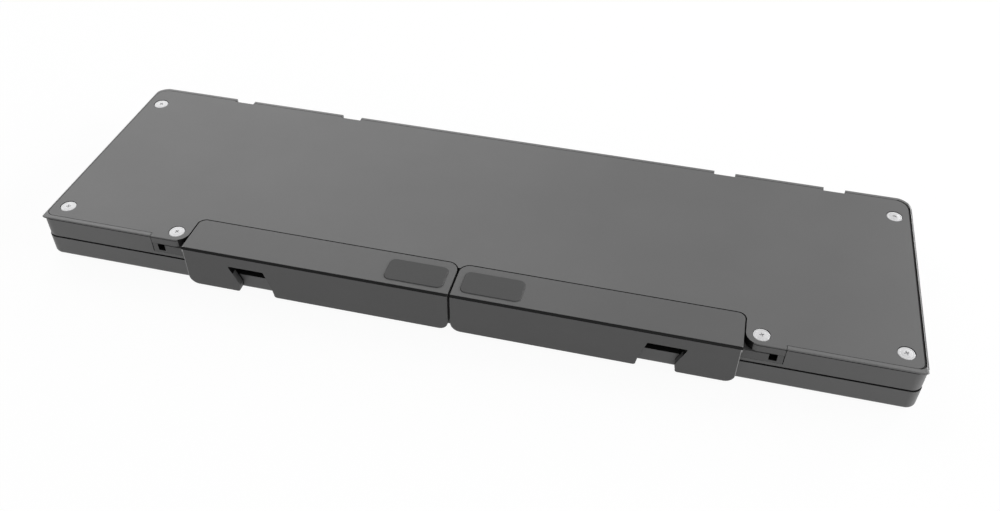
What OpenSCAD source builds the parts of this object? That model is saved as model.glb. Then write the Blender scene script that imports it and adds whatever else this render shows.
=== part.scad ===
// Folding keyboard, folded shut, with two swing-out arms that hold a tablet.
// The near half lies on the table with its keys up. The far half is folded over it,
// so its bottom cover, its screws and its two arms are on top.
// Origin: on the table, in the middle of the whole. X to the right, Y to the back, Z up.

/* [Case] */
// Width of both halves
case_w = 250; // [245:0.5:260]
// Depth of both halves, front face to back face
case_d = 72.4; // [71.5:0.1:77]
// Height of one half
half_h = 6.8; // [6.8:0.1:8]
// Height of the gap between the halves
seam_gap = 0.6; // [0.5:0.05:0.9]
// Corner radius of the near half seen from above
case_r = 3; // [2.6:0.1:5]
// Corner radius of the far half's front corners
far_front_r = 1.8; // [1.6:0.1:3]
// Corner radius of the far half's front corners below its rim
far_wall_r = 3.5; // [2:0.1:5]
// Corner radius of the far half's back corners
far_back_r = 5.5; // [3:0.1:6]
// Edge rounding on the underside of the near half
near_edge_r = 1.3; // [1:0.1:2]
// Rounding of the far half's top edges along its two ends
far_end_r = 1.3; // [0.6:0.1:1.8]
// Rounding of the far half's top edges along its front and back
far_edge_r = 0.3; // [0.15:0.05:0.6]
// Thickness of the outer walls
wall_t = 1.5; // [1.3:0.05:1.9]
// Thickness of the frame face around the keys
bezel_t = 1; // [0.8:0.05:1.2]

/* [Covers] */
// Thickness of the two bottom covers
cover_t = 1; // [0.8:0.05:1]
// Rim around the far cover at the sides
rim_side = 1.2; // [0.95:0.05:1.3]
// Rim in front of the far cover
rim_front = 1.45; // [1.2:0.05:1.6]
// Rim behind the far cover
rim_back = 1.3; // [1.2:0.05:1.6]
// Rim around the near cover
near_rim = 2.4; // [2.3:0.05:2.8]
// Corner radius of the covers
cover_r = 2.2; // [1.5:0.1:3]
// Radius of the far cover's back corners
cover_back_r = 4; // [2:0.1:4.5]
// Width of the far half's rim at its right end
rim_end = 0.75; // [0.7:0.05:1.2]
// Wider gap between that rim and the cover
cover_end_gap = 0.65; // [0.2:0.05:0.7]
// Gap around the covers
cover_gap = 0.15; // [0.08:0.01:0.2]
// Thickness of the far cover at its two pivot ears
ear_t = 2.6; // [2.2:0.05:2.6]
// Distance from an end of the case to the outer side of an ear
ear_inset = 35.5; // [34:0.1:36.1]

/* [Screws] */
// Radius of a screw head
head_r = 2.2; // [1.9:0.05:2.3]
// Thickness of a screw head
head_t = 0.6; // [0.4:0.05:0.7]
// Radius of a screw shank
shank_r = 0.7; // [0.6:0.05:0.8]
// Length of a screw below its head
shank_l = 4; // [3:0.1:4.3]
// Distance from an end of the case to its corner screws
corner_screw_inset = 5.6; // [5.4:0.1:6.4]
// Depth of the front screws behind the front face
front_screw_y = 6.25; // [6:0.05:7]
// Depth of the back screws ahead of the back face
back_screw_inset = 9.45; // [8.5:0.05:10.5]
// Radius of the bosses that take the screws
boss_r = 2.2; // [1.8:0.05:2.3]

/* [Fold hinge] */
// Distance from the back faces to the fold axis
fold_out = 0.25; // [0.2:0.01:0.5]
// Radius of the hinge barrels
barrel_r = 2.2; // [1.9:0.05:2.3]
// Radius of the hinge pins
pin_r = 0.75; // [0.6:0.05:0.9]
// Width of the notches in the back edges
notch_w = 6.5; // [6:0.1:8]
// Depth of the notches in the back edges
notch_d = 1.85; // [1.6:0.05:2]
// Width of the middle knuckle
mid_knuckle_w = 2.2; // [1.8:0.05:2.6]

/* [Arms] */
// Distance from an end of the case to the pivot of an arm
pivot_inset = 42; // [41.4:0.1:42.4]
// Depth of the pivots behind the front face
pivot_y = 3.69; // [3.6:0.01:3.8]
// Thickness of the arm's flange
flange_t = 1.4; // [1.2:0.05:1.5]
// Depth of the flange's back edge behind the front face
flange_back_y = 10.48; // [9.8:0.02:10.8]
// Thickness of the arm's front wall
arm_wall_t = 2.24; // [1.8:0.02:2.6]
// Gap between the arm's wall and the front faces
arm_gap = 0.35; // [0.3:0.01:0.6]
// Height of the arm's wall
arm_wall_h = 13.25; // [11:0.05:13.6]
// Gap between the ends of the two arms
arms_gap = 0.7; // [0.6:0.05:1.2]
// Play between an arm and what lies beside it
arm_play = 0.3; // [0.15:0.01:0.35]
// Play between an arm's outer end and the ear
side_play = 0.4; // [0.3:0.01:0.6]
// Radius of the flange's back corner at the middle
flange_r = 3; // [1.5:0.1:3.5]
// Radius of the flange's back corner by the ear
flange_end_r = 2.1; // [1.5:0.1:3.5]
// Radius of the wall's lower corners
arm_wall_r = 2.8; // [1:0.1:4]
// Rounding of the fold between flange and wall
arm_fold_r = 0.7; // [0.3:0.05:1]

/* [Tablet slots] */
// Distance from a pivot to the inner top corner of a slot
slot_inset = 28.6; // [27:0.1:38]
// Width of a slot at its top
slot_w = 10.5; // [8:0.1:12]
// Height of a slot above the wall's lower edge
slot_h = 9.1; // [7:0.1:9.5]
// How far a slot leans towards the middle
slot_lean = 2.6; // [1:0.1:3.5]
// Corner radius of the wall's teeth beside a slot
tooth_r = 0.8; // [0.4:0.1:1.2]
// Height of the relief in the near half behind a slot
relief_h = 1.5; // [1:0.1:2]

/* [Arm pads] */
// Length of the rubber pads
pad_w = 17; // [12:0.1:20]
// Depth of the rubber pads
pad_d = 8.4; // [6:0.1:9]
// Corner radius of the rubber pads
pad_r = 1.8; // [0.6:0.1:3]
// Thickness of the rubber pads
pad_t = 0.85; // [0.7:0.05:1]
// Height of a pad over its flange
pad_proud = 0.25; // [0.1:0.05:0.35]
// Distance from the middle to the inner end of a pad
pad_x = 2.4; // [1.5:0.1:6]
// Depth of a pad's front edge, ahead of the front face
pad_front = 0.4; // [0:0.05:0.9]

/* [Keys] */
// Width of the case beside the key field
field_side = 11; // [11:0.5:16]
// Depth of the near half's front part, ahead of its keys
palm_d = 10.4; // [10.4:0.1:14]
// Height of the function row as a share of the other rows
function_row_share = 0.66; // [0.56:0.01:0.68]
// Depth of the key field's back edge ahead of the back face
key_margin = 7.4; // [7.4:0.05:7.8]
// Gap between two key tops
key_gap = 1.6; // [1.4:0.1:2.4]
// Corner radius of a key top
key_r = 1.5; // [0.5:0.1:2.5]
// Height of a key
key_h = 2.5; // [2.3:0.05:2.5]
// Travel of a key
key_travel = 1.2; // [0.8:0.05:1.2]
// Depth of the key tops below the frame face
key_sink = 0.2; // [0.15:0.05:0.35]
// Thickness of the web between the keys
web_t = 0.95; // [0.8:0.05:1]

/* [Feet] */
// Height of the feet below the near cover
foot_h = 0.6; // [0.4:0.05:1]
// Length of a foot
foot_w = 22; // [12:0.5:30]
// Depth of a foot
foot_d = 6; // [4:0.1:8]
// Distance from an end of the case to the middle of a foot
foot_inset = 33; // [25:0.5:60]
// Depth of the recess that seats a foot, a bumper or a pad
seat_t = 0.4; // [0.3:0.05:0.5]
// Radius of a bumper between the halves
bumper_r = 2; // [1.2:0.1:2.2]
// Distance from an end of the case to the bumpers
bumper_inset = 28; // [25:0.5:30]

/* [Inside] */
// Thickness of the support plates
plate_t = 0.3; // [0.2:0.05:0.3]
// Thickness of the switch membranes
membrane_t = 0.2; // [0.1:0.05:0.2]
// Thickness of the circuit boards
board_t = 0.8; // [0.6:0.05:1]
// Thickness of the battery
battery_t = 2.9; // [2:0.05:2.9]
// Gap between the battery and the blocks at its ends
battery_gap = 11.6; // [6:0.1:30]
// Radius of a magnet
magnet_r = 3; // [2:0.1:3]
// Thickness of a magnet
magnet_t = 2; // [1:0.1:2.2]
// Distance from an end of the case to the magnets
magnet_inset = 17; // [15:0.5:20]
// Depth of the magnets behind the front face
magnet_y = 5.1; // [5:0.05:5.2]
// Width of the charging socket's mouth
socket_w = 8.3; // [8:0.1:8.6]
// Height of the charging socket's mouth
socket_h = 2.5; // [2.3:0.05:2.6]
// Travel of the power slider
slider_travel = 2; // [1.5:0.1:2.5]

/* [Hidden] */
$fn = 48;

// One overrun for every cut, and the small gaps between pieces
over = 0.5;
fit_gap = 0.05;
slip_gap = 0.1;
eps_gap = 0.02;

// Places along the width and the depth, counted from the middle and the front face
ear_side_x = case_w / 2 - ear_inset;
corner_screw_x = case_w / 2 - corner_screw_inset;
back_screw_y = case_d - back_screw_inset;
pivot_x = case_w / 2 - pivot_inset;
slot_x = pivot_x - slot_inset;
foot_x = case_w / 2 - foot_inset;
bumper_x = case_w / 2 - bumper_inset;
magnet_x = case_w / 2 - magnet_inset;
light_inset = 21;
light_x = case_w / 2 - light_inset;

// Whole part
fold_y = case_d + fold_out;
arm_front = arm_gap + arm_wall_t;
whole_d = arm_front + fold_y + barrel_r;
front_y = arm_front - whole_d / 2;
top_z = foot_h + 2 * half_h + seam_gap;
fold_h = half_h + seam_gap / 2;

// Heights inside one half, counted from its cover's outer face
cavity_h = half_h - bezel_t;
web_bottom = cavity_h - web_t;
key_top = half_h - key_sink;
key_bottom = key_top - key_h;
lip_gap = 0.15;
lip_t = web_bottom - lip_gap - key_bottom;
lip_out = 0.6;
key_floor = key_bottom - key_travel - slip_gap;
membrane_bottom = key_floor - membrane_t;
plate_bottom = membrane_bottom - plate_t;
dome_h = key_bottom - key_floor - fit_gap;
dome_base_r = 3.4;
dome_top_r = 2.2;
dome_wall = 0.35;
window_gap = 0.3;

// Key rows: the widths of their keys, as shares of the pitch
function_shares = [for (i = [0:11]) 1];
number_shares = [1, 1, 1, 1, 1, 1, 1, 1, 1, 1, 2];
letter_shares = [for (i = [0:11]) 1];
home_shares = [1.25, 1, 1, 1, 1, 1, 1, 1, 1, 1, 1.75];
bottom_shares = [1.75, 1, 1, 1, 1, 1, 1, 1, 1, 2.25];
space_shares = [1, 1, 1, 1.25, 3.75, 1, 1, 1, 1];
row_length_share = 12;
near_rows = 3;
field_w = case_w - 2 * field_side;
key_pitch_x = field_w / row_length_share;
field_back = case_d - key_margin;
near_field_front = palm_d;
key_pitch_y = (field_back - palm_d) / near_rows;
function_pitch_y = function_row_share * key_pitch_y;
far_field_front = field_back - 2 * key_pitch_y - function_pitch_y;
field_edge = 0.35;
frame_lap = 0.7;
plate_side = 2.25;

// Screw places
middle_screw_y = 5.7;
thread_gap = 0.05;
head_gap = 0.15;
cross_w = 0.5;
cross_l = 2.4;
cross_t = 0.35;
far_screws = [for (s = [-1, 1]) for (y = [front_screw_y, back_screw_y]) [s * corner_screw_x, y]];
near_screws = concat(far_screws, [[0, middle_screw_y]]);

// Hinge: places of the notches' middles as shares of the width
notch_shares = [-0.3704, -0.2176, 0.2752, 0.4084];
hinge_play = 0.1;
knuckle_play = 0.15;
leaf_t = 1.3;
leaf_d = 5.3;
leaf_front = case_d - leaf_d;
barrel_gap = 0.35;
leaf_back = fold_y - barrel_r - barrel_gap;
leaf_bottom = fold_h - barrel_r;
knuckle_span = notch_w - 2 * knuckle_play;
side_knuckle_w = (knuckle_span - mid_knuckle_w) / 2 - hinge_play;
hinge_block_side = 1.4;

// Arm: where the flange, the wall and the knuckle lie
ear_r = pivot_y;
ear_shift = 0.35;
ear_x = pivot_x - ear_shift;
recess_x = ear_x - ear_r;
flange_side_x = recess_x - side_play;
wall_inset = 0.25;
wall_side_x = flange_side_x - wall_inset;
arm_end_x = arms_gap / 2;
recess_back_y = flange_back_y + arm_play;
recess_t = flange_t + arm_play;
shelf_t = 0.75;
shelf_wall = 1.2;
ear_gap = 0.35;
knuckle_top = ear_t + ear_gap;
knuckle_low = cavity_h - fit_gap;
bush_gap = 0.3;
bush_low = cavity_h - bush_gap;
tail_inset = 2.6;
tail_x = pivot_x + tail_inset;
tail_side = 0.1;
tail_t = 2.7;
neck_w = 11;
neck_back = 1.5;
neck_fuse = 0.5;
knuckle_reach = sqrt(pow(ear_side_x - pivot_x, 2) + pow(ear_r, 2)) + slip_gap;
bay_wall = 1.2;
washer_t = 0.22;
washer_r = 3.2;
bush_wall = 0.4;
post_r = 1.4;
battery_w = 2 * (pivot_x - neck_w - bay_wall - arm_play - battery_gap);
hole_w = 2.15;
hole_side = 1.7;
hole_bottom = 5;
slot_top = arm_wall_h - slot_h;
slot_tip = 0.6;
relief_side = 1.5;
groove_z = 0.4;
groove_w = 0.2;
groove_d = 0.3;

// Ends of the far half
socket_y = 21.5;
socket_wall = 0.3;
socket_depth = 7;
socket_bottom = 2.3;
slider_y = 21;
slider_rise = 0.8;
slider_bottom = socket_bottom + slider_rise;
slider_w = 3;
slider_t = 1.5;
slider_depth = 1.3;
switch_w = 8;
switch_t = 2.5;
switch_depth = 3.2;
light_r = 0.9;
light_gap = 0.6;
light_y = far_field_front - field_edge - frame_lap - light_r - light_gap;

// Colours
shell_grey = [0.36, 0.36, 0.37];
cover_grey = [0.42, 0.42, 0.43];
arm_grey = [0.38, 0.38, 0.39];
pad_grey = [0.2, 0.2, 0.21];
key_grey = [0.13, 0.13, 0.14];
steel = [0.78, 0.78, 0.8];
brass = [0.75, 0.6, 0.3];
board_green = [0.1, 0.32, 0.2];
battery_silver = [0.6, 0.61, 0.63];
clear_film = [0.75, 0.76, 0.72];

// Places that turn a half's own heights into the folded keyboard
module near_place() {
    translate([0, front_y, foot_h]) children();
}

module far_place() {
    translate([0, front_y, top_z]) mirror([0, 0, 1]) children();
}

module both_sides() {
    children();
    mirror([1, 0, 0]) children();
}

// Rectangle between two corners, with round corners
module round_rect(x0, y0, x1, y1, r) {
    case_plan(x0, y0, x1, y1, r, r);
}

// The same with one radius for the front corners and one for the back corners
module case_plan(x0, y0, x1, y1, r, rb) {
    translate([x0 + r, y0]) square([x1 - x0 - 2 * r, (y1 - y0) / 2]);
    translate([x0 + rb, (y0 + y1) / 2]) square([x1 - x0 - 2 * rb, (y1 - y0) / 2]);
    translate([x0, y0 + r]) square([x1 - x0, y1 - y0 - r - rb]);
    for (x = [x0 + r, x1 - r]) {
        translate([x, y0 + r]) circle(r);
    }
    for (x = [x0 + rb, x1 - rb]) {
        translate([x, y1 - rb]) circle(rb);
    }
}

// Half section of a slab from its corner axis outwards, round at its lower outer edge
module edge_profile() {
    square([case_r - near_edge_r, half_h]);
    translate([0, near_edge_r]) square([case_r, half_h - near_edge_r]);
    translate([case_r - near_edge_r, near_edge_r]) intersection() {
        circle(near_edge_r);
        translate([0, -near_edge_r]) square([near_edge_r, 2 * near_edge_r]);
    }
}

module edge_bar(length) {
    rotate([90, 0, 0]) linear_extrude(length, center = true) edge_profile();
}

// Solid of the near half with round upright corners and a round lower edge
module near_slab() {
    run_x = case_w - 2 * case_r;
    run_y = case_d - 2 * case_r;
    translate([-run_x / 2, case_r, 0]) cube([run_x, run_y, half_h]);
    for (x = [-run_x / 2, run_x / 2]) {
        for (y = [case_r, case_r + run_y]) {
            translate([x, y, 0]) rotate_extrude() edge_profile();
        }
    }
    for (s = [0, 180]) {
        translate([0, case_d / 2, 0]) rotate(s) {
            translate([run_x / 2, 0, 0]) edge_bar(run_y);
            translate([0, run_y / 2, 0]) rotate(90) edge_bar(run_x);
        }
    }
}

// Section with round lower corners, for the ends or for the front and back of the far half
module edge_section(width, r) {
    translate([-width / 2 + r, 0]) square([width - 2 * r, half_h]);
    translate([-width / 2, r]) square([width, half_h - r]);
    for (x = [-width / 2 + r, width / 2 - r]) {
        translate([x, r]) circle(r);
    }
}

// Solid of the far half: its plan, cut by a section along Y and a section along X
module far_slab() {
    intersection() {
        linear_extrude(half_h) far_plan(0);
        translate([0, case_d, 0]) rotate([90, 0, 0])
            linear_extrude(case_d) edge_section(case_w, far_end_r);
        translate([-case_w / 2, case_d / 2, 0]) rotate([90, 0, 90])
            linear_extrude(case_w) edge_section(case_d, far_edge_r);
    }
}

// Plan of the far half, drawn in by some inset
module far_plan(inset, front_r = far_front_r) {
    case_plan(-case_w / 2 + inset, inset, case_w / 2 - inset, case_d - inset,
              front_r - inset, far_back_r - inset);
}

// What lies round the far half's plan
module far_waste(inset, front_r) {
    difference() {
        translate([-case_w / 2 - over, -over]) square([case_w + 2 * over, case_d + 2 * over]);
        far_plan(inset, front_r);
    }
}

// Fine groove under the far half's rim, and the rounder front corners below it
module rim_groove() {
    translate([0, 0, groove_z]) {
        linear_extrude(groove_w) far_waste(groove_d, far_wall_r);
        linear_extrude(half_h) far_waste(0, far_wall_r);
    }
}

module near_cavity() {
    translate([0, 0, -over]) linear_extrude(cavity_h + over)
        round_rect(-case_w / 2 + wall_t, wall_t, case_w / 2 - wall_t, case_d - wall_t,
                   case_r - wall_t);
}

module far_cavity() {
    translate([0, 0, -over]) linear_extrude(cavity_h + over) far_plan(wall_t, far_wall_r);
}

module key_opening(field_front) {
    translate([-field_w / 2 - field_edge, field_front - field_edge, cavity_h - over])
        cube([field_w + 2 * field_edge, field_back - field_front + 2 * field_edge,
              bezel_t + 2 * over]);
}

module screw_bosses(places) {
    for (p = places) {
        translate([p.x, p.y, cover_t]) cylinder(h = cavity_h - cover_t + over, r = boss_r);
    }
}

module screw_bores(places) {
    for (p = places) {
        translate([p.x, p.y, -over])
            cylinder(h = head_t + shank_l + 2 * over, r = shank_r + thread_gap);
    }
}

// Posts that reach down from the frame to the support plate
module plate_posts(field_front) {
    for (x = [-1, 1]) {
        for (y = [field_front + key_pitch_y / 2, field_back - key_pitch_y / 2]) {
            translate([x * (field_w / 2 + plate_side - boss_r / 4), y,
                       plate_bottom + plate_t + eps_gap])
                cylinder(h = cavity_h - plate_bottom - plate_t, r = boss_r / 4);
        }
    }
}

// Cups that hold the magnets against the frame
module magnet_cups() {
    both_sides() translate([magnet_x, magnet_y, cavity_h - magnet_t]) difference() {
        cylinder(h = magnet_t + over, r = magnet_r + web_t);
        translate([0, 0, -over]) cylinder(h = magnet_t + over, r = magnet_r + fit_gap);
    }
}

module magnets() {
    both_sides() translate([magnet_x, magnet_y, cavity_h - magnet_t])
        cylinder(h = magnet_t - eps_gap, r = magnet_r);
}

module at_notches() {
    for (share = notch_shares) {
        translate([share * case_w, 0, 0]) children();
    }
}

module hinge_blocks() {
    side = notch_w / 2 + hinge_block_side;
    at_notches() translate([-side, field_back + slip_gap, cover_t])
        cube([2 * side, case_d - wall_t - field_back + over, cavity_h - cover_t + over]);
}

// Room for the barrels, the notch in the back edge and the slot for the leaf
module hinge_cuts() {
    notch_cuts();
    at_notches() {
        translate([-notch_w / 2, fold_y, fold_h]) rotate([0, 90, 0])
            cylinder(h = notch_w, r = barrel_r + knuckle_play);
        translate([-knuckle_span / 2 - fit_gap, leaf_front - fit_gap, leaf_bottom - fit_gap])
            cube([knuckle_span + 2 * fit_gap, case_d - leaf_front + over, leaf_t + 2 * fit_gap]);
    }
}

module notch_cuts() {
    at_notches() translate([-notch_w / 2, case_d - notch_d, -over])
        cube([notch_w, notch_d + over, half_h + 2 * over]);
}

module barrel(width) {
    translate([-width / 2, fold_y, fold_h]) rotate([0, 90, 0]) cylinder(h = width, r = barrel_r);
}

module barrel_web(width) {
    translate([-width / 2, leaf_back - over, leaf_bottom])
        cube([width, fold_y - leaf_back + over, leaf_t]);
}

module leaf() {
    translate([-knuckle_span / 2, leaf_front, leaf_bottom])
        cube([knuckle_span, leaf_back - leaf_front, leaf_t]);
}

module pin_bore() {
    translate([-notch_w / 2, fold_y, fold_h]) rotate([0, 90, 0])
        cylinder(h = notch_w, r = pin_r + fit_gap);
}

module side_knuckles() {
    offset_x = (knuckle_span - side_knuckle_w) / 2;
    difference() {
        union() {
            leaf();
            for (s = [-1, 1]) {
                translate([s * offset_x, 0, 0]) {
                    barrel(side_knuckle_w);
                    barrel_web(side_knuckle_w);
                }
            }
        }
        pin_bore();
    }
}

module middle_knuckle() {
    difference() {
        union() {
            leaf();
            barrel(mid_knuckle_w);
            barrel_web(mid_knuckle_w);
        }
        pin_bore();
    }
}

// One countersunk screw with a cross recess, its head's top at the cover's face
module screw() {
    difference() {
        union() {
            cylinder(h = head_t, r = head_r);
            cylinder(h = head_t + shank_l, r = shank_r);
        }
        for (a = [0, 90]) {
            rotate(a) translate([-cross_l / 2, -cross_w / 2, -over])
                cube([cross_l, cross_w, cross_t + over]);
        }
    }
}

module screw_seats(places) {
    for (p = places) {
        translate([p.x, p.y, -over]) {
            cylinder(h = head_t + over + eps_gap, r = head_r + head_gap);
            cylinder(h = ear_t + 2 * over, r = shank_r + thread_gap);
        }
    }
}

// Sum of the first n entries, for the place of a key along its row
function run_of(shares, n) = n == 0 ? 0 : shares[n - 1] + run_of(shares, n - 1);

// Key i of a row, with the lip that holds it under the web
module key_solid(shares, i, row_front, pitch_y) {
    w = shares[i] * key_pitch_x;
    x0 = -field_w / 2 + run_of(shares, i) * key_pitch_x;
    translate([0, 0, key_bottom]) {
        linear_extrude(key_h)
            round_rect(x0 + key_gap / 2, row_front + key_gap / 2,
                       x0 + w - key_gap / 2, row_front + pitch_y - key_gap / 2, key_r);
        linear_extrude(lip_t)
            round_rect(x0 + key_gap / 2 - lip_out, row_front + key_gap / 2 - lip_out,
                       x0 + w - key_gap / 2 + lip_out,
                       row_front + pitch_y - key_gap / 2 + lip_out, key_r);
    }
}

module key_row(shares, picks, row_front, pitch_y) {
    for (i = picks) {
        key_solid(shares, i, row_front, pitch_y);
    }
}

module key_windows(shares, row_front, pitch_y) {
    for (i = [0:len(shares) - 1]) {
        w = shares[i] * key_pitch_x;
        x0 = -field_w / 2 + run_of(shares, i) * key_pitch_x;
        inset = key_gap / 2 - window_gap;
        round_rect(x0 + inset, row_front + inset, x0 + w - inset,
                   row_front + pitch_y - inset, key_r + window_gap);
    }
}

module dome_row(shares, row_front, pitch_y) {
    for (i = [0:len(shares) - 1]) {
        x0 = -field_w / 2 + run_of(shares, i) * key_pitch_x;
        translate([x0 + shares[i] * key_pitch_x / 2, row_front + pitch_y / 2, key_floor])
            difference() {
                cylinder(h = dome_h, r1 = dome_base_r, r2 = dome_top_r);
                translate([0, 0, -eps_gap])
                    cylinder(h = dome_h - dome_wall, r1 = dome_base_r - dome_wall,
                             r2 = dome_top_r - dome_wall);
            }
    }
}

// Fronts of the rows, and their picks
home_front = field_back - key_pitch_y;
bottom_front = field_back - 2 * key_pitch_y;
space_front = near_field_front;
letter_front = field_back - key_pitch_y;
number_front = field_back - 2 * key_pitch_y;
function_front = far_field_front;

module frame_plate(field_front) {
    translate([-field_w / 2 - field_edge - frame_lap, field_front - field_edge - frame_lap,
               web_bottom])
        cube([field_w + 2 * (field_edge + frame_lap),
              field_back - field_front + field_edge + frame_lap, web_t - eps_gap]);
}

module sheet_under_keys(field_front, side, bottom, thick) {
    translate([-field_w / 2 - side, field_front - side / 2, bottom])
        cube([field_w + 2 * side, field_back - field_front + side / 2, thick]);
}

module support_plate(field_front) {
    sheet_under_keys(field_front, plate_side, plate_bottom, plate_t - eps_gap);
}

module membrane(field_front) {
    sheet_under_keys(field_front, 0, membrane_bottom, membrane_t - eps_gap);
}

// Near half
module near_case() {
    color(shell_grey) near_place() difference() {
        union() {
            difference() {
                near_slab();
                near_cavity();
            }
            intersection() {
                near_slab();
                union() {
                    screw_bosses(near_screws);
                    hinge_blocks();
                }
            }
            plate_posts(near_field_front);
            magnet_cups();
        }
        translate([0, 0, -over]) linear_extrude(cover_t + over) near_cover_outline(cover_gap);
        key_opening(near_field_front);
        screw_bores(near_screws);
        hinge_cuts();
        bumper_places() cylinder(h = seat_t + over, r = bumper_r + fit_gap);
        both_sides() translate([slot_x - slot_lean - relief_side, -over, half_h - relief_h])
            cube([slot_w + slot_lean + 2 * relief_side, wall_t + 2 * over, relief_h + over]);
    }
}

module near_cover_outline(gap) {
    round_rect(-case_w / 2 + near_rim - gap, near_rim - gap,
               case_w / 2 - near_rim + gap, case_d - near_rim + gap, cover_r);
}

module foot_outline(gap) {
    for (s = [-1, 1]) {
        for (y = [near_rim + foot_d, case_d - near_rim - foot_d]) {
            round_rect(s * foot_x - foot_w / 2 - gap, y - foot_d / 2 - gap,
                       s * foot_x + foot_w / 2 + gap, y + foot_d / 2 + gap, foot_d / 3);
        }
    }
}

module near_cover() {
    color(cover_grey) near_place() difference() {
        linear_extrude(cover_t - eps_gap) near_cover_outline(0);
        screw_seats(near_screws);
        translate([0, 0, -over]) linear_extrude(seat_t + over) foot_outline(fit_gap);
    }
}

module near_cover_screws() {
    color(steel) near_place() for (p = near_screws) {
        translate([p.x, p.y, 0]) screw();
    }
}

module near_feet() {
    color(pad_grey) near_place() translate([0, 0, -foot_h])
        linear_extrude(foot_h + seat_t - eps_gap) foot_outline(0);
}

module bumper_places() {
    for (s = [-1, 1]) {
        for (y = [pivot_y, case_d - pivot_y]) {
            translate([s * bumper_x, y, half_h - seat_t]) children();
        }
    }
}

module near_bumpers() {
    color(pad_grey) near_place() translate([0, 0, eps_gap]) bumper_places()
        cylinder(h = seat_t + seam_gap - fit_gap, r = bumper_r);
}

module near_key_frame() {
    color(shell_grey) near_place() difference() {
        frame_plate(near_field_front);
        translate([0, 0, web_bottom - over]) linear_extrude(web_t + 2 * over) {
            key_windows(home_shares, home_front, key_pitch_y);
            key_windows(bottom_shares, bottom_front, key_pitch_y);
            key_windows(space_shares, space_front, key_pitch_y);
        }
    }
}

module near_support_plate() {
    color(steel) near_place() support_plate(near_field_front);
}

module near_membrane() {
    color(clear_film) near_place() membrane(near_field_front);
}

module near_domes() {
    color(pad_grey) near_place() {
        dome_row(home_shares, home_front, key_pitch_y);
        dome_row(bottom_shares, bottom_front, key_pitch_y);
        dome_row(space_shares, space_front, key_pitch_y);
    }
}

module near_board() {
    color(board_green) near_place()
        translate([-field_w / 4, near_field_front, plate_bottom - board_t - eps_gap])
            cube([field_w / 2, 2 * key_pitch_y, board_t]);
}

module near_magnets() {
    color(steel) near_place() magnets();
}

module near_hinge_knuckles() {
    color(shell_grey) near_place() at_notches() side_knuckles();
}

module home_row_keys() {
    color(key_grey) near_place() key_row(home_shares, [0:9], home_front, key_pitch_y);
}

module bottom_row_keys() {
    color(key_grey) near_place() key_row(bottom_shares, [1:8], bottom_front, key_pitch_y);
}

module space_row_keys() {
    color(key_grey) near_place()
        key_row(space_shares, [0, 1, 2, 3, 5, 6, 7, 8], space_front, key_pitch_y);
}

module enter_key() {
    color(key_grey) near_place() key_row(home_shares, [10], home_front, key_pitch_y);
}

module left_shift_key() {
    color(key_grey) near_place() key_row(bottom_shares, [0], bottom_front, key_pitch_y);
}

module right_shift_key() {
    color(key_grey) near_place() key_row(bottom_shares, [9], bottom_front, key_pitch_y);
}

module space_key() {
    color(key_grey) near_place() key_row(space_shares, [4], space_front, key_pitch_y);
}

// Far half
// Right flange seen from above, drawn out by a gap along it and one at its outer end
module flange_outline(gap, end_gap) {
    intersection() {
        round_rect(arm_end_x - gap, -case_d, case_w, flange_back_y + gap, flange_r + gap);
        round_rect(-case_w, -case_d, flange_side_x + end_gap, flange_back_y + gap,
                   flange_end_r + gap);
    }
}

// Recess for both arms, with a tip of the cover left between their round corners
module recess_outline() {
    tip_y = flange_back_y - flange_r + sqrt(arm_play * (2 * flange_r + arm_play));
    both_sides() flange_outline(arm_play, side_play);
    translate([-arm_end_x, -case_d]) square([2 * arm_end_x, case_d + tip_y]);
}

// One pivot ear: round about the pivot where the arm swings past, square beyond it
module ear_outline(gap) {
    ear_back = recess_back_y;
    translate([ear_x, pivot_y]) circle(ear_r);
    translate([recess_x, pivot_y]) square([ear_side_x + gap - recess_x, ear_back - pivot_y]);
    translate([ear_x, 0]) square([ear_side_x + gap - ear_x, ear_back]);
}

module far_cover_outline(gap) {
    difference() {
        case_plan(-case_w / 2 + rim_side - gap, rim_front - gap,
                  case_w / 2 - rim_end - (gap > 0 ? 0 : cover_end_gap),
                  case_d - rim_back + gap, cover_r, cover_back_r);
        recess_outline();
        swing_corners();
    }
    both_sides() ear_outline(gap);
}

// Corners beside the round ears that the arms sweep
module swing_corners() {
    both_sides() translate([recess_x - over, -over])
        square([ear_x - recess_x + over, pivot_y + over]);
}

module knuckle_pocket() {
    translate([pivot_x, pivot_y]) circle(knuckle_reach);
    translate([pivot_x - neck_w - slip_gap - arm_play, -over])
        square([neck_w + slip_gap + arm_play, pivot_y + neck_back + arm_play + over]);
    translate([pivot_x, -over]) square([ear_side_x + slip_gap - pivot_x, pivot_y + over]);
}

// Solid ground for the arms: a shelf under the flanges and a block round each pivot
module arm_bay() {
    shelf_z = recess_t;
    intersection() {
        far_slab();
        union() {
            translate([-pivot_x, 0, shelf_z])
                cube([2 * pivot_x, recess_back_y + shelf_wall, shelf_t]);
            translate([-pivot_x, recess_back_y, cover_t])
                cube([2 * pivot_x, shelf_wall, shelf_z + shelf_t - cover_t]);
            both_sides() translate([pivot_x - neck_w - bay_wall - arm_play, 0, cover_t])
                cube([neck_w + knuckle_reach + 2 * bay_wall + arm_play,
                      pivot_y + knuckle_reach + bay_wall, cavity_h - cover_t + over]);
        }
    }
}

module pivot_posts() {
    both_sides() translate([pivot_x, pivot_y, ear_t + fit_gap])
        cylinder(h = cavity_h - ear_t, r = post_r);
}

module pivot_bores() {
    both_sides() translate([pivot_x, pivot_y, -over])
        cylinder(h = head_t + shank_l + 2 * over, r = shank_r + thread_gap);
}

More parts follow.
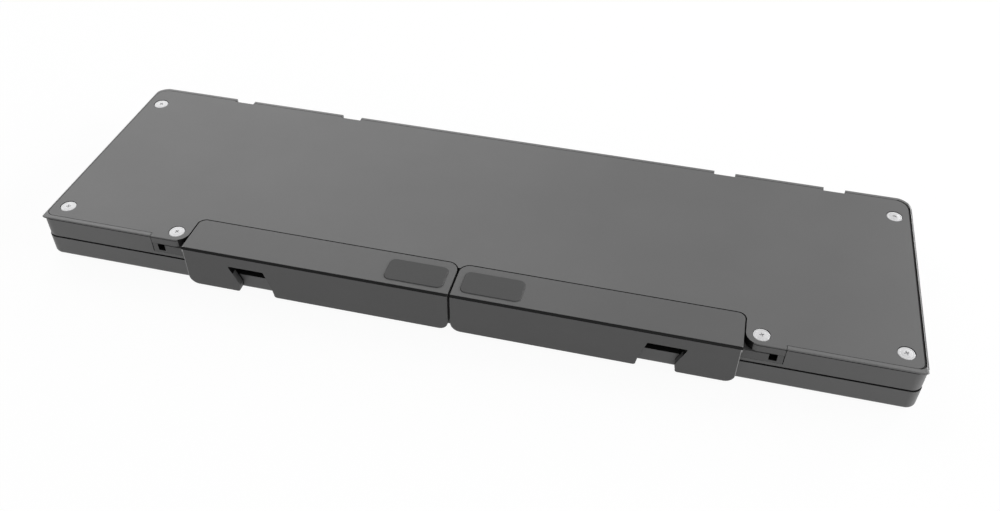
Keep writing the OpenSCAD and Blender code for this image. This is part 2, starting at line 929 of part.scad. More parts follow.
module end_cuts() {
    translate([case_w / 2 - wall_t - over, socket_y - socket_w / 2 - socket_wall - fit_gap,
               socket_bottom - fit_gap])
        cube([wall_t + 2 * over, socket_w + 2 * (socket_wall + fit_gap),
              socket_h + 2 * (socket_wall + fit_gap)]);
    translate([-case_w / 2 - over, slider_y - slider_w / 2 - fit_gap, slider_bottom - fit_gap])
        cube([wall_t + 2 * over, slider_w + slider_travel + 2 * fit_gap,
              slider_t + 2 * fit_gap]);
    translate([light_x, light_y, cavity_h - over])
        cylinder(h = bezel_t + 2 * over, r = light_r + fit_gap);
}

module far_case() {
    color(shell_grey) far_place() difference() {
        union() {
            difference() {
                far_slab();
                far_cavity();
            }
            intersection() {
                far_slab();
                union() {
                    screw_bosses(far_screws);
                    hinge_blocks();
                }
            }
            arm_bay_with_pockets();
            plate_posts(far_field_front);
            magnet_cups();
        }
        translate([0, 0, -over]) linear_extrude(cover_t + over) far_cover_outline(cover_gap);
        translate([0, 0, -over]) linear_extrude(ear_t + over) both_sides() ear_outline(cover_gap);
        translate([0, 0, -over]) linear_extrude(recess_t + over) recess_outline();
        translate([0, 0, -over]) linear_extrude(ear_t + over) swing_corners();
        front_pockets();
        key_opening(far_field_front);
        screw_bores(far_screws);
        pivot_bores();
        hinge_cuts();
        end_cuts();
        rim_groove();
    }
}

// The bay's blocks with the knuckle pockets cut out and the pivot posts left standing
module arm_bay_with_pockets() {
    difference() {
        arm_bay();
        pocket_cut();
    }
    pivot_posts();
}

module pocket_cut() {
    translate([0, 0, ear_t - eps_gap]) linear_extrude(cavity_h - ear_t + eps_gap)
        both_sides() knuckle_pocket();
}

// The same pockets where they break out through the front wall
module front_pockets() {
    intersection() {
        pocket_cut();
        translate([-case_w / 2, -over, 0]) cube([case_w, pivot_y - post_r, half_h]);
    }
}

module far_cover() {
    color(cover_grey) far_place() difference() {
        union() {
            linear_extrude(cover_t - eps_gap) far_cover_outline(0);
            linear_extrude(ear_t) both_sides() ear_outline(0);
        }
        screw_seats(far_screws);
        both_sides() screw_seats([[pivot_x, pivot_y]]);
        notch_cuts();
    }
}

module far_cover_screws() {
    color(steel) far_place() for (p = far_screws) {
        translate([p.x, p.y, 0]) screw();
    }
}

module arm_pivot_screws() {
    color(steel) far_place() both_sides() translate([pivot_x, pivot_y, 0]) screw();
}

module far_key_frame() {
    color(shell_grey) far_place() difference() {
        frame_plate(far_field_front);
        translate([0, 0, web_bottom - over]) linear_extrude(web_t + 2 * over) {
            key_windows(letter_shares, letter_front, key_pitch_y);
            key_windows(number_shares, number_front, key_pitch_y);
            key_windows(function_shares, function_front, function_pitch_y);
        }
    }
}

module far_support_plate() {
    color(steel) far_place() support_plate(far_field_front);
}

module far_membrane() {
    color(clear_film) far_place() membrane(far_field_front);
}

module far_domes() {
    color(pad_grey) far_place() {
        dome_row(letter_shares, letter_front, key_pitch_y);
        dome_row(number_shares, number_front, key_pitch_y);
        dome_row(function_shares, function_front, function_pitch_y);
    }
}

module main_board() {
    side = case_w / 2 - wall_t - slip_gap;
    color(board_green) far_place() {
        translate([side - field_w / 3, far_field_front, plate_bottom - board_t - eps_gap])
            cube([field_w / 3, key_pitch_y, board_t]);
        translate([-side, far_field_front, plate_bottom - board_t - eps_gap])
            cube([field_w / 8, key_pitch_y / 2, board_t]);
    }
}

module battery() {
    color(battery_silver) far_place()
        translate([-battery_w / 2, wall_t + slip_gap, cavity_h - battery_t - eps_gap])
            cube([battery_w, far_field_front - frame_lap - wall_t - over, battery_t]);
}

module far_magnets() {
    color(steel) far_place() magnets();
}

module far_hinge_knuckles() {
    color(shell_grey) far_place() at_notches() middle_knuckle();
}

module hinge_pins() {
    color(steel) far_place() at_notches()
        translate([-knuckle_span / 2, fold_y, fold_h]) rotate([0, 90, 0])
            cylinder(h = knuckle_span, r = pin_r);
}

module charging_socket() {
    mouth_r = socket_h / 2;
    side = case_w / 2 - eps_gap;
    color(steel) far_place()
        translate([side - socket_depth, socket_y, socket_bottom + socket_wall + mouth_r])
            rotate([90, 0, 90]) difference() {
                linear_extrude(socket_depth)
                    round_rect(-socket_w / 2 - socket_wall, -mouth_r - socket_wall,
                               socket_w / 2 + socket_wall, mouth_r + socket_wall, mouth_r);
                translate([0, 0, socket_wall]) linear_extrude(socket_depth)
                    round_rect(-socket_w / 2, -mouth_r, socket_w / 2, mouth_r,
                               mouth_r - socket_wall);
            }
}

module power_switch_body() {
    color(key_grey) far_place()
        translate([-case_w / 2 + wall_t + slip_gap, slider_y - slider_w, slider_bottom - over])
            cube([switch_depth, switch_w, switch_t]);
}

module power_slider() {
    color(key_grey) far_place()
        translate([-case_w / 2 + wall_t + fit_gap - slider_depth, slider_y - slider_w / 2,
                   slider_bottom])
            cube([slider_depth, slider_w, slider_t]);
}

module status_light() {
    color("white") far_place() translate([light_x, light_y, cavity_h - slip_gap])
        cylinder(h = bezel_t, r = light_r);
}

module pivot_bushes() {
    color(brass) far_place() both_sides()
        translate([pivot_x, pivot_y, knuckle_top]) difference() {
            cylinder(h = bush_low - knuckle_top, r = post_r + fit_gap + bush_wall);
            translate([0, 0, -over])
                cylinder(h = bush_low - knuckle_top + 2 * over, r = post_r + fit_gap);
        }
}

module friction_washers() {
    color(steel) far_place() both_sides() for (z = [ear_t + fit_gap, bush_low + eps_gap]) {
        translate([pivot_x, pivot_y, z]) difference() {
            cylinder(h = washer_t, r = washer_r);
            translate([0, 0, -over]) cylinder(h = washer_t + 2 * over, r = post_r + fit_gap);
        }
    }
}

module function_row_keys() {
    color(key_grey) far_place()
        key_row(function_shares, [0:11], function_front, function_pitch_y);
}

module number_row_keys() {
    color(key_grey) far_place() key_row(number_shares, [0:9], number_front, key_pitch_y);
}

module letter_row_keys() {
    color(key_grey) far_place() key_row(letter_shares, [0:11], letter_front, key_pitch_y);
}

module backspace_key() {
    color(key_grey) far_place() key_row(number_shares, [10], number_front, key_pitch_y);
}

// Arms: an angle section along X, cut to the flange's outline and the wall's outline
module arm_section() {
    translate([-arm_front + arm_fold_r, 0]) square([arm_front + flange_back_y - arm_fold_r, flange_t]);
    translate([-arm_front, arm_fold_r]) square([arm_wall_t, arm_wall_h - arm_fold_r]);
    translate([-arm_front + arm_fold_r, arm_fold_r]) circle(arm_fold_r);
    translate([-arm_front + arm_fold_r, 0]) square([arm_wall_t - arm_fold_r, arm_wall_h]);
}

module arm_bar() {
    translate([arm_end_x, 0, 0]) rotate([90, 0, 90])
        linear_extrude(flange_side_x - arm_end_x) arm_section();
}

module slot_outline() {
    reach = arm_wall_h + over;
    x0 = slot_x;
    x1 = slot_x + slot_w;
    polygon([[x0, slot_top], [x1, slot_top], [x1, slot_top + slot_tip],
             [x1 - slot_lean, arm_wall_h - slot_lean], [x1 - slot_lean + slot_tip, reach],
             [x0 - slot_lean, reach], [x0 - slot_lean + slot_tip, arm_wall_h - slot_lean]]);
}

// Front wall of an arm: the slot leaves two teeth with round corners at its lower end
module wall_outline() {
    tooth_ends = [slot_x - slot_lean + slot_tip / 2, slot_x + slot_w - slot_lean + slot_tip / 2];
    difference() {
        round_rect(arm_end_x, -case_d, wall_side_x, arm_wall_h, arm_wall_r);
        slot_outline();
        translate([tooth_ends[0] - tooth_r, arm_wall_h - tooth_r])
            square([tooth_ends[1] - tooth_ends[0] + 2 * tooth_r, tooth_r + over]);
    }
    translate([tooth_ends[0] - tooth_r, arm_wall_h - tooth_r]) circle(tooth_r);
    translate([tooth_ends[1] + tooth_r, arm_wall_h - tooth_r]) circle(tooth_r);
}

module arm_knuckle() {
    difference() {
        union() {
            knuckle_block();
            translate([tail_x, 0, ear_t + fit_gap])
                cube([ear_side_x - tail_side - tail_x, tail_t, knuckle_low - ear_t - fit_gap]);
        }
        knuckle_cuts();
    }
}

// Disc round the pivot, tail beside it and neck to the arm's wall
module knuckle_block() {
    translate([0, 0, knuckle_top]) linear_extrude(knuckle_low - knuckle_top) {
        translate([pivot_x, pivot_y]) circle(ear_r);
        translate([pivot_x, 0]) square([ear_side_x - tail_side - pivot_x, tail_t]);
        translate([pivot_x - neck_w, 0]) square([neck_w, pivot_y + neck_back]);
        translate([pivot_x - neck_w, -arm_gap - neck_fuse])
            square([wall_side_x - pivot_x + neck_w, arm_gap + neck_fuse + over]);
    }
}

// Bore for the bush, seat for the lower washer and the small window in the tail
module knuckle_cuts() {
    translate([pivot_x, pivot_y, knuckle_top - over])
        cylinder(h = knuckle_low, r = post_r + bush_wall + 2 * fit_gap);
    translate([pivot_x, pivot_y, bush_low])
        cylinder(h = cavity_h - bush_low, r = washer_r + slip_gap);
    translate([ear_side_x - hole_side - hole_w, -over, ear_t - over])
        cube([hole_w, tail_t + 2 * over, hole_bottom - ear_t + over]);
}

module pad_outline(gap) {
    round_rect(pad_x - gap, -pad_front - gap, pad_x + pad_w + gap,
               -pad_front + pad_d + gap, pad_r);
}

module arm() {
    difference() {
        union() {
            intersection() {
                arm_bar();
                linear_extrude(flange_t) flange_outline(0, 0);
            }
            intersection() {
                arm_bar();
                rotate([90, 0, 0]) linear_extrude(arm_front + over) wall_outline();
            }
            arm_knuckle();
        }
        translate([0, 0, -over]) linear_extrude(pad_t - pad_proud + over) pad_outline(fit_gap);
    }
}

module right_arm() {
    color(arm_grey) far_place() arm();
}

module left_arm() {
    color(arm_grey) far_place() mirror([1, 0, 0]) arm();
}

module arm_pad() {
    translate([0, 0, -pad_proud]) linear_extrude(pad_t - eps_gap) pad_outline(0);
}

module right_arm_pad() {
    color(pad_grey) far_place() arm_pad();
}

module left_arm_pad() {
    color(pad_grey) far_place() mirror([1, 0, 0]) arm_pad();
}

near_case();
near_cover();
near_cover_screws();
near_feet();
near_bumpers();
near_key_frame();
near_support_plate();
near_membrane();
near_domes();
near_board();
near_magnets();
near_hinge_knuckles();
home_row_keys();
bottom_row_keys();
space_row_keys();
enter_key();
left_shift_key();
right_shift_key();
space_key();
far_case();
far_cover();
far_cover_screws();
arm_pivot_screws();
far_key_frame();
far_support_plate();
far_membrane();
far_domes();
main_board();
battery();
far_magnets();
far_hinge_knuckles();
hinge_pins();
charging_socket();
power_switch_body();
power_slider();
status_light();
pivot_bushes();
friction_washers();
function_row_keys();
number_row_keys();
letter_row_keys();
backspace_key();
left_arm();
right_arm();
left_arm_pad();
right_arm_pad();
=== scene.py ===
import math

import bmesh
import bpy
from mathutils import Matrix, Vector


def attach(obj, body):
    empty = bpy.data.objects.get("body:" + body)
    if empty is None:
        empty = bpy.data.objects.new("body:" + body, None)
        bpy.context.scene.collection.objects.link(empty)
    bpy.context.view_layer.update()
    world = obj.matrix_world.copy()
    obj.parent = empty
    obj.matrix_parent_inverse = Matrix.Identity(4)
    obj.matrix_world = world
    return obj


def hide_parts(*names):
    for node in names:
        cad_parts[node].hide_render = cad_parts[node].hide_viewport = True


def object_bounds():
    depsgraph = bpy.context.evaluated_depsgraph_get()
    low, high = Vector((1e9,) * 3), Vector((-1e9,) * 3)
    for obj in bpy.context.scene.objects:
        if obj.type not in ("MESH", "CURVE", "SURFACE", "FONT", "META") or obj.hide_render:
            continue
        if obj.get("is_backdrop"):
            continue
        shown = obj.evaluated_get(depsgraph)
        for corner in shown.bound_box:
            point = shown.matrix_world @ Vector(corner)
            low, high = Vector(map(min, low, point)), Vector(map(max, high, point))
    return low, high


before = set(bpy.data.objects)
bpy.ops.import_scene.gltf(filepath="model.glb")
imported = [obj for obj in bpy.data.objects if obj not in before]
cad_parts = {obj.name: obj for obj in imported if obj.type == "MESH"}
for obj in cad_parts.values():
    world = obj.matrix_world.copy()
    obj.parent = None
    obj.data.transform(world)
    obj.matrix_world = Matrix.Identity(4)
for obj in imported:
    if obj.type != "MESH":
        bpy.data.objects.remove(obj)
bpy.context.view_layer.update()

# Camera
# A plain photographic camera close above the table, in front and a little to the right.
# Its place, turn and lens give the photograph's view of the folded keyboard.
camera_place = (0.05636, -0.22100, 0.20001)
camera_turn = (0.840589, -0.012041, 0.238016)
camera_lens = 35.42
camera_sensor = 36.0
camera_near = 0.01
camera_data = bpy.data.cameras.new("camera")
camera_data.lens = camera_lens
camera_data.sensor_width = camera_sensor
camera_data.clip_start = camera_near
camera = bpy.data.objects.new("camera", camera_data)
camera.location = camera_place
camera.rotation_euler = camera_turn
bpy.context.scene.collection.objects.link(camera)
bpy.context.scene.camera = camera
bpy.context.scene.view_settings.view_transform = "Standard"

# Table and studio
# A table that shows white and runs into a white room, as in a product picture.
# The table throws little light back and keeps a faint shadow of the keyboard.
table_reach = 3.0
table_drop = 0.00002
table_glow_share = 0.75
table_glow_level = 1.25
table_grey = 0.35
room_level = 0.2
room_white = 1.0
room_glow_share = 1.0


def sum_of(tree, operation, first, second=None):
    """One step of a sum in a material, from two outputs or an output and a number."""
    step = tree.nodes.new("ShaderNodeMath")
    step.operation = operation
    tree.links.new(first, step.inputs[0])
    if isinstance(second, float):
        step.inputs[1].default_value = second
    elif second is not None:
        tree.links.new(second, step.inputs[1])
    return step.outputs[0]


def white_to_eye(tree, lit, glow, share):
    """Mixes a lit shader with a glowing one for camera, gloss and glass rays."""
    rays = tree.nodes.new("ShaderNodeLightPath").outputs
    either = sum_of(tree, "MAXIMUM", rays["Is Camera Ray"], rays["Is Glossy Ray"])
    seen = sum_of(tree, "MAXIMUM", either, rays["Is Transmission Ray"])
    part = sum_of(tree, "MULTIPLY", seen, share)
    mix = tree.nodes.new("ShaderNodeMixShader")
    tree.links.new(part, mix.inputs[0])
    tree.links.new(lit.outputs[0], mix.inputs[1])
    tree.links.new(glow.outputs[0], mix.inputs[2])
    return mix


table_paint = bpy.data.materials.new("white_table")
table_paint.use_nodes = True
tree = table_paint.node_tree
tree.nodes.clear()
table_out = tree.nodes.new("ShaderNodeOutputMaterial")
table_lit = tree.nodes.new("ShaderNodeBsdfDiffuse")
table_lit.inputs["Color"].default_value = (table_grey, table_grey, table_grey, 1)
table_glow = tree.nodes.new("ShaderNodeEmission")
table_glow.inputs["Color"].default_value = (1, 1, 1, 1)
table_glow.inputs["Strength"].default_value = table_glow_level
table_mix = white_to_eye(tree, table_lit, table_glow, table_glow_share)
tree.links.new(table_mix.outputs[0], table_out.inputs["Surface"])

shape = bmesh.new()
bmesh.ops.create_grid(shape, x_segments=1, y_segments=1, size=table_reach)
bmesh.ops.translate(shape, verts=shape.verts, vec=(0, 0, -table_drop))
table_mesh = bpy.data.meshes.new("table")
shape.to_mesh(table_mesh)
shape.free()
table = bpy.data.objects.new("table", table_mesh)
table.data.materials.append(table_paint)
bpy.context.scene.collection.objects.link(table)
table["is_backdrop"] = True

room = bpy.data.worlds.new("white_room")
bpy.context.scene.world = room
room.use_nodes = True
tree = room.node_tree
tree.nodes.clear()
room_out = tree.nodes.new("ShaderNodeOutputWorld")
room_lit = tree.nodes.new("ShaderNodeBackground")
room_lit.inputs["Color"].default_value = (1, 1, 1, 1)
room_lit.inputs["Strength"].default_value = room_level
room_glow = tree.nodes.new("ShaderNodeBackground")
room_glow.inputs["Color"].default_value = (1, 1, 1, 1)
room_glow.inputs["Strength"].default_value = room_white
room_mix = white_to_eye(tree, room_lit, room_glow, room_glow_share)
tree.links.new(room_mix.outputs[0], room_out.inputs["Surface"])

# Lamps
# Softboxes: a large one behind and to the left, one low on the right, a small one low
# behind the right end that lights its edge, and weaker ones on the left and in front.
# Each has its place, its width and its power.
lamps = {
    "back_softbox": ((-0.75, 1.0, 0.95), 1.3, 8.1),
    "right_softbox": ((1.25, 0.1, 0.35), 0.8, 10.6),
    "edge_softbox": ((0.75, 0.9, 0.28), 0.4, 4.5),
    "left_softbox": ((-1.2, 0.3, 0.6), 0.8, 1.7),
    "front_softbox": ((0.25, -1.1, 0.7), 0.9, 3.1),
}
for lamp_name, (place, size, power) in lamps.items():
    lamp_data = bpy.data.lights.new(lamp_name, "AREA")
    lamp_data.size = size
    lamp_data.energy = power
    lamp = bpy.data.objects.new(lamp_name, lamp_data)
    lamp.location = place
    lamp.rotation_euler = (-Vector(place)).to_track_quat("-Z", "Y").to_euler()
    bpy.context.scene.collection.objects.link(lamp)

# Case shells
# Both halves have a moulded shell of grey plastic with a fine matt grain. The walls'
# edges are softly rounded by the mould. The inside, the edges that meet when it is
# shut and the fine groove under the rim carry a near-black painted shade for the
# shadow in the hollow, the seam and the groove.
case_grey = 0.46
shell_edge = 0.00008
weld = 0.000002
flat_turn = math.radians(0.6)
crease_turn = math.radians(28)
mottle_scale = 38.0
mottle_detail = 5.0
grain_detail = 3.0
grain_low = 0.3
grain_high = 0.7
grain_gloss = 0.04
grain_height = 0.0001


def srgb(level):
    """The linear value of a level as the eye sees it."""
    return ((level + 0.055) / 1.055) ** 2.4


def new_finish(name):
    """A fresh material: itself, its tree, its main shader and the piece's own coordinates."""
    paint = bpy.data.materials.new(name)
    paint.use_nodes = True
    tree = paint.node_tree
    where = tree.nodes.new("ShaderNodeTexCoord")
    return paint, tree, tree.nodes["Principled BSDF"], where.outputs["Object"]


def noise(tree, where, scale, detail):
    """A noise pattern over the piece."""
    pattern = tree.nodes.new("ShaderNodeTexNoise")
    pattern.inputs["Scale"].default_value = scale
    pattern.inputs["Detail"].default_value = detail
    tree.links.new(where, pattern.inputs["Vector"])
    return pattern


def tinted(tree, body, pattern, tones, low, high):
    """Colour that runs from one tone to another with the pattern."""
    tint = tree.nodes.new("ShaderNodeValToRGB")
    for stop, tone, position in zip(tint.color_ramp.elements, tones, (low, high)):
        stop.color = (*tone, 1)
        stop.position = position
    tree.links.new(pattern, tint.inputs["Fac"])
    tree.links.new(tint.outputs["Color"], body.inputs["Base Color"])


def glossed(tree, body, pattern, rough, swing, low=0.0, high=1.0):
    """Gloss that swings about its level with the pattern."""
    gloss = tree.nodes.new("ShaderNodeMapRange")
    gloss.inputs["From Min"].default_value = low
    gloss.inputs["From Max"].default_value = high
    gloss.inputs["To Min"].default_value = rough - swing
    gloss.inputs["To Max"].default_value = rough + swing
    tree.links.new(pattern, gloss.inputs["Value"])
    tree.links.new(gloss.outputs["Result"], body.inputs["Roughness"])


def embossed(tree, body, pattern, depth, height):
    """The pattern as fine bumps in the surface."""
    bump = tree.nodes.new("ShaderNodeBump")
    bump.inputs["Strength"].default_value = depth
    bump.inputs["Distance"].default_value = height
    tree.links.new(pattern, bump.inputs["Height"])
    tree.links.new(bump.outputs["Normal"], body.inputs["Normal"])


def grained(name, shade, rough, grain=2600.0, depth=0.05, mottle=0.04, sheen=0.4, metal=0.0):
    """A matt finish: grain as bump, slow mottling of the colour and uneven gloss."""
    paint, tree, body, where = new_finish(name)
    slow = noise(tree, where, mottle_scale, mottle_detail).outputs["Fac"]
    fine = noise(tree, where, grain, grain_detail).outputs["Fac"]
    tones = [(srgb(shade) * turn,) * 3 for turn in (1 - mottle, 1 + mottle)]
    tinted(tree, body, slow, tones, grain_low, grain_high)
    glossed(tree, body, fine, rough, grain_gloss, grain_low, grain_high)
    embossed(tree, body, fine, depth, grain_height)
    body.inputs["Specular IOR Level"].default_value = sheen
    body.inputs["Metallic"].default_value = metal
    return paint


def softened(node, radius, steps=2):
    """A welded copy of a CAD node with its sharp edges rounded."""
    shape = bmesh.new()
    shape.from_mesh(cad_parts[node].data)
    bmesh.ops.remove_doubles(shape, verts=shape.verts, dist=weld)
    bmesh.ops.dissolve_limit(shape, angle_limit=flat_turn, verts=shape.verts, edges=shape.edges)
    if radius:
        sharp = [e for e in shape.edges if len(e.link_faces) == 2
                 and e.calc_face_angle(0) > crease_turn]
        bmesh.ops.bevel(shape, geom=sharp, offset=radius, offset_type="OFFSET", affect="EDGES",
                        segments=steps, profile=0.5, material=-1, clamp_overlap=True)
    return shape


def finished(shape, name, paint, body, slot, *nodes):
    """Makes the piece: smooth faces, its material, its body and the nodes it stands for."""
    mesh = bpy.data.meshes.new(name)
    shape.to_mesh(mesh)
    shape.free()
    mesh.shade_smooth()
    mesh.set_sharp_from_angle(angle=crease_turn)
    for one in paint if isinstance(paint, list) else [paint]:
        mesh.materials.append(one)
    piece = bpy.data.objects.new(name, mesh)
    bpy.context.scene.collection.objects.link(piece)
    even = piece.modifiers.new("even_normals", "WEIGHTED_NORMAL")
    even.keep_sharp = True
    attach(piece, body)
    if nodes:
        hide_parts(*nodes)
    return piece


case_plastic = grained("case_plastic", shade=case_grey, rough=0.45)
# Painted shade: near-black for the shell's inside, its seam edges and the rim groove.
shell_painted_shade = grained("shell_painted_shade", shade=0.07, rough=0.7, grain=1600.0, depth=0.1, sheen=0.2)
rim_deep = 0.00115
front_skin = 0.00025
groove_top = 0.00036
groove_low = 0.0007
corner_reach = 0.0056
seam_reach = 0.0001
for half, up in (("near", -1), ("far", 1)):
    shape = softened(half + "_case", shell_edge)
    low = Vector(min(v.co[i] for v in shape.verts) for i in range(3))
    high = Vector(max(v.co[i] for v in shape.verts) for i in range(3))
    outer = high.z if up > 0 else low.z
    seam = low.z if up > 0 else high.z
    for f in shape.faces:
        middle = f.calc_center_median()
        deep = (outer - middle.z) * up > rim_deep
        walled = (low.x + rim_deep < middle.x < high.x - rim_deep
                  and low.y + front_skin < middle.y < high.y - rim_deep)
        from_end = min(middle.x - low.x, high.x - middle.x)
        from_side = min(middle.y - low.y, high.y - middle.y)
        outward = (f.normal.x * (middle.x - (low.x + high.x) / 2) > 0
                   and f.normal.y * (middle.y - (low.y + high.y) / 2) > 0)
        if outward and from_end + from_side < corner_reach:
            walled = False
        meets = abs(middle.z - seam) < seam_reach
        grooved = up > 0 and groove_top < outer - middle.z < groove_low
        # Painted shade where the inside, the seam and the groove lie in shadow.
        if meets or (deep and walled) or grooved:
            f.material_index = 1
    finished(shape, half + "_shell", [case_plastic, shell_painted_shade], half + "_half", "shell",
             half + "_case")

# Key frames
# A thin black frame with a pocket for each key closes the top of either half.
# It is moulded in glossy plastic and clipped into the shell.
frame_edge = 0.0001
frame_black = grained("frame_black", shade=0.1, rough=0.3, grain=1400.0, depth=0.03, sheen=0.35)
for half in ("near", "far"):
    finished(softened(half + "_key_frame", frame_edge), half + "_frame", frame_black,
             half + "_half", "key_frame", half + "_key_frame")

# Support plates
# Sheets of rolled steel under the keys. They keep the mill's fine parallel grain,
# with darker streaks left by the rolls.
plate_shade = 0.62
roll_stretch = (2.0, 60.0, 2.0)
streak_scale = 120.0
streak_detail = 6.0
streak_roughness = 0.65
streak_low = 0.25
streak_high = 0.75
streak_gloss = 0.08
streak_depth = 0.12
streak_height = 0.00004
cold_cast = 1.02


def drawn_steel(name, shade, rough, stretch, shift=0.12):
    """Bare metal with grain drawn out along one axis, as bump, colour and gloss."""
    paint, tree, body, where = new_finish(name)
    pull = tree.nodes.new("ShaderNodeMapping")
    pull.inputs["Scale"].default_value = stretch
    tree.links.new(where, pull.inputs["Vector"])
    streaks = noise(tree, pull.outputs["Vector"], streak_scale, streak_detail)
    streaks.inputs["Roughness"].default_value = streak_roughness
    grain = streaks.outputs["Fac"]
    levels = [min(1.0, srgb(shade) * turn) for turn in (1 - shift, 1 + shift)]
    tones = [(level, level, min(1.0, level * cold_cast)) for level in levels]
    tinted(tree, body, grain, tones, streak_low, streak_high)
    glossed(tree, body, grain, rough, streak_gloss)
    embossed(tree, body, grain, streak_depth, streak_height)
    body.inputs["Metallic"].default_value = 1.0
    return paint


rolled_steel = drawn_steel("rolled_steel", shade=plate_shade, rough=0.38, stretch=roll_stretch)
for half in ("near", "far"):
    finished(softened(half + "_support_plate", 0), half + "_steel_plate", rolled_steel,
             half + "_half", "steel", half + "_support_plate")

# Membranes
# Two layers of clear polyester film with silver tracks printed between them.
# The tracks run from key to key in a square net, and their lines bend a little.
film_tone = (0.62, 0.68, 0.66)
track_tone = (0.42, 0.43, 0.45)
track_pitch = 0.0045
track_width_share = 0.12
track_sway = 0.001
sway_scale = 90.0
sway_detail = 2.0
track_depth = 0.4
track_height = 0.00003


def striped(tree, where, axis, pitch, share):
    """One where a line of the net runs along the other axis, else zero."""
    parts = tree.nodes.new("ShaderNodeSeparateXYZ")
    tree.links.new(where, parts.inputs[0])
    rest = sum_of(tree, "FRACT", sum_of(tree, "DIVIDE", parts.outputs[axis], pitch))
    return sum_of(tree, "LESS_THAN", rest, share)


def tracked(name, ground, track, pitch, share, rough, metal, sway):
    """A flat ground with raised tracks in both directions that bend a little."""
    paint, tree, body, where = new_finish(name)
    bend = noise(tree, where, sway_scale, sway_detail)
    shift = tree.nodes.new("ShaderNodeVectorMath")
    shift.operation = "SCALE"
    shift.inputs["Scale"].default_value = sway
    tree.links.new(bend.outputs["Color"], shift.inputs[0])
    place = tree.nodes.new("ShaderNodeVectorMath")
    place.operation = "ADD"
    tree.links.new(where, place.inputs[0])
    tree.links.new(shift.outputs["Vector"], place.inputs[1])
    ways = [striped(tree, place.outputs["Vector"], axis, pitch, share) for axis in (0, 1)]
    lines = sum_of(tree, "MAXIMUM", *ways)
    tinted(tree, body, lines, (ground, track), 0.0, 1.0)
    shine = sum_of(tree, "MULTIPLY", lines, metal)
    tree.links.new(shine, body.inputs["Metallic"])
    embossed(tree, body, lines, track_depth, track_height)
    body.inputs["Roughness"].default_value = rough
    return paint


track_film = tracked("track_film", film_tone, track_tone, track_pitch, track_width_share,
                     rough=0.25, metal=0.8, sway=track_sway)
for half in ("near", "far"):
    finished(softened(half + "_membrane", 0), half + "_film", track_film,
             half + "_half", "film", half + "_membrane")

# Domes
# A silicone dome under each key gives it its spring. They are moulded in milky,
# slightly see-through silicone.
dome_edge = 0.0001
dome_scatter = 0.4
dome_scatter_reach = (0.0012, 0.001, 0.0008)
dome_silicone = grained("dome_silicone", shade=0.78, rough=0.5, grain=900.0, depth=0.08)
dome_body = dome_silicone.node_tree.nodes["Principled BSDF"]
dome_body.inputs["Subsurface Weight"].default_value = dome_scatter
dome_body.inputs["Subsurface Radius"].default_value = dome_scatter_reach
dome_body.inputs["Subsurface Scale"].default_value = 1.0
for half in ("near", "far"):
    finished(softened(half + "_domes", dome_edge), half + "_spring_domes", dome_silicone,
             half + "_half", "silicone", half + "_domes")

# Keys
# Low moulded caps with rounded edges and a shallow dish in the top. Each row stands
# in its own pockets, and the caps stay blank.
key_plastic = grained("key_plastic", shade=0.16, rough=0.55, grain=3200.0, depth=0.08, sheen=0.25)
cap_edge = 0.0003
cap_edge_steps = 3
dish_border = 0.0007
dish_depth = 0.00016
top_area = 0.00003
level_turn = 0.99
top_reach_share = 0.6
caps_flatness = 100
key_nodes = [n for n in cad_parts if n.endswith("_keys") or n.endswith("_key")]
for node in sorted(key_nodes):
    shape = softened(node, cap_edge, cap_edge_steps)
    bmesh.ops.dissolve_limit(shape, angle_limit=flat_turn, verts=shape.verts, edges=shape.edges)
    middle = sum((v.co.z for v in shape.verts), 0.0) / len(shape.verts)
    tops = [f for f in shape.faces
            if f.calc_area() > top_area and abs(f.normal.z) > level_turn]
    outer = [f for f in tops if (f.calc_center_median().z - middle) * f.normal.z > 0]
    far_out = max((abs(f.calc_center_median().z - middle) for f in outer), default=0)
    outer = [f for f in outer
             if abs(f.calc_center_median().z - middle) > far_out * top_reach_share]
    bmesh.ops.inset_region(shape, faces=outer, thickness=dish_border, depth=-dish_depth,
                           use_even_offset=True)
    caps = finished(shape, node + "_caps", key_plastic, node + "_body", "keys", node)
    caps.modifiers["even_normals"].weight = caps_flatness

# Circuit boards
# The main board lies under the far half's keys, with a small piece of it at the switch,
# and a plainer one lies in the near half. Copper tracks run under dark green lacquer.
lacquer_tone = (0.006, 0.045, 0.022)
copper_tone = (0.014, 0.1, 0.045)
copper_pitch = 0.0013
copper_width_share = 0.35
copper_sway = 0.0022
board_lacquer = tracked("board_lacquer", lacquer_tone, copper_tone, copper_pitch,
                        copper_width_share, rough=0.35, metal=0.15, sway=copper_sway)
for node, half in (("main_board", "far_half"), ("near_board", "near_half")):
    finished(softened(node, 0), node + "_laminate", board_lacquer, half, "board", node)

# Battery
# A flat pouch cell in dull aluminium foil that is slightly wrinkled all over. It lies
# in the far half, between two blocks of the shell.
cell_edge = 0.0006
cell_foil = grained("cell_foil", shade=0.66, rough=0.36, grain=240.0, depth=0.5,
                    mottle=0.06, metal=0.8)
finished(softened("battery", cell_edge, steps=3), "pouch_cell", cell_foil, "far_half", "battery",
         "battery")

